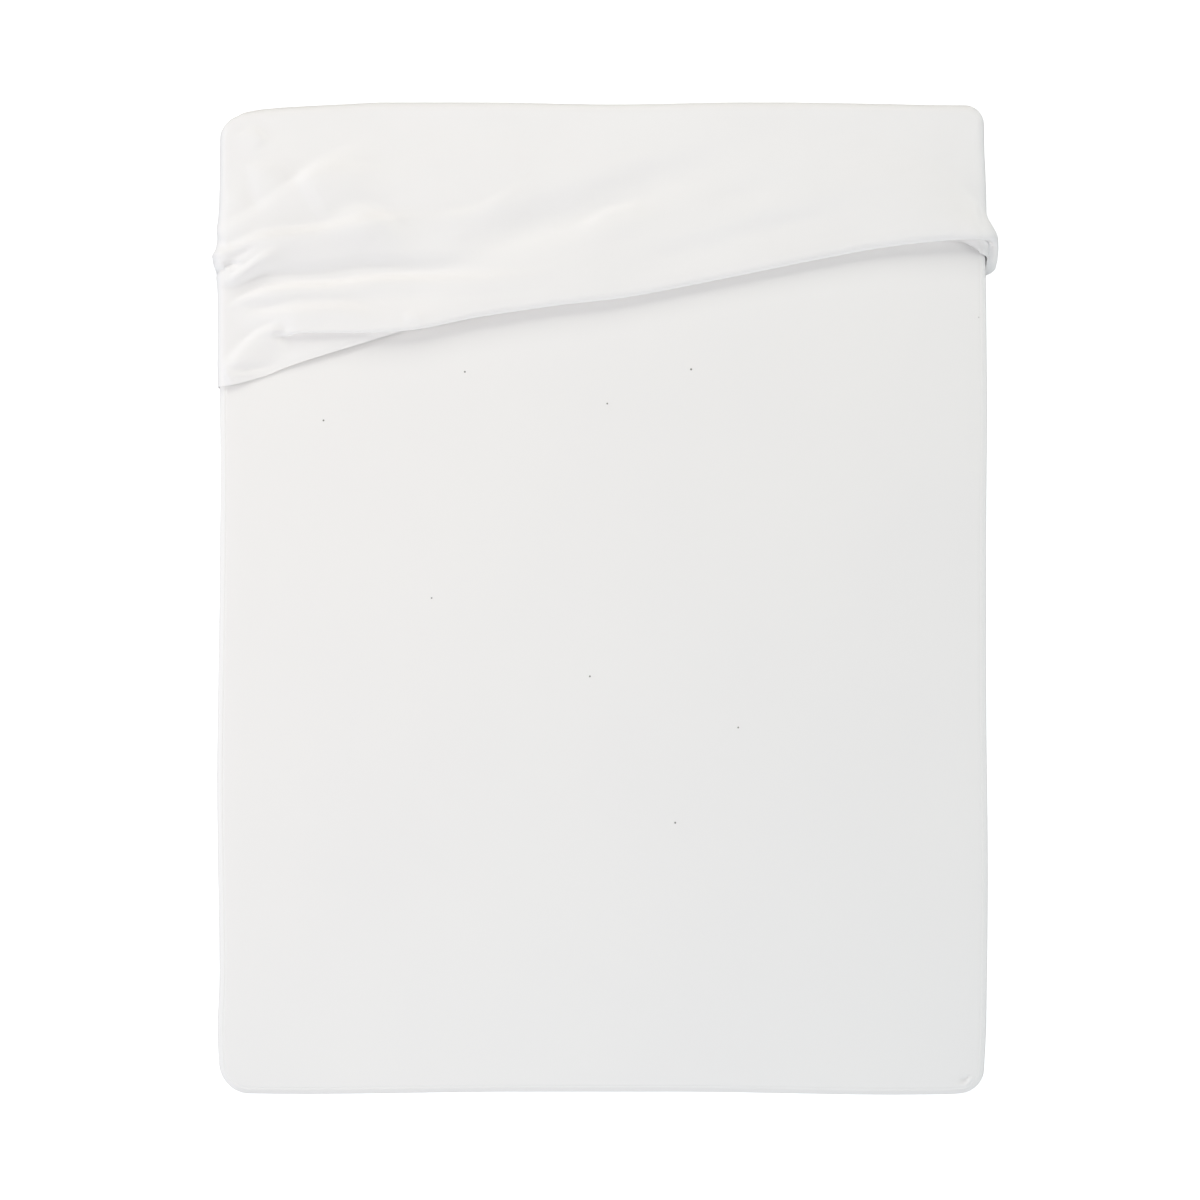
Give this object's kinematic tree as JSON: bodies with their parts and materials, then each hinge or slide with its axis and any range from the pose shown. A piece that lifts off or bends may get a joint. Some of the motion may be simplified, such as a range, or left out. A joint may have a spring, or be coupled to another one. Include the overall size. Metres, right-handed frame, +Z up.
{
  "type": "mattress encasement folded back on a mattress",
  "caption": "Plain white cloth encasement drawn over the head end of a mattress, its open end folded back under itself and slanting across the top.",
  "frame": {"origin": "middle of the mattress's flat underside, which rests on the surface", "axes": "+X to the right seen from the foot, +Y towards the head, where the encasement is, +Z up"},
  "size_m": [1.5905, 2, 0.2792],
  "materials": {
    "encasement_cloth": "smooth white knit, soft and matt",
    "ticking": "plain white ticking, matt"
  },
  "bodies": {
    "root": {"encasement": "encasement_cloth", "mattress": "ticking"}
  },
  "joints": []
}
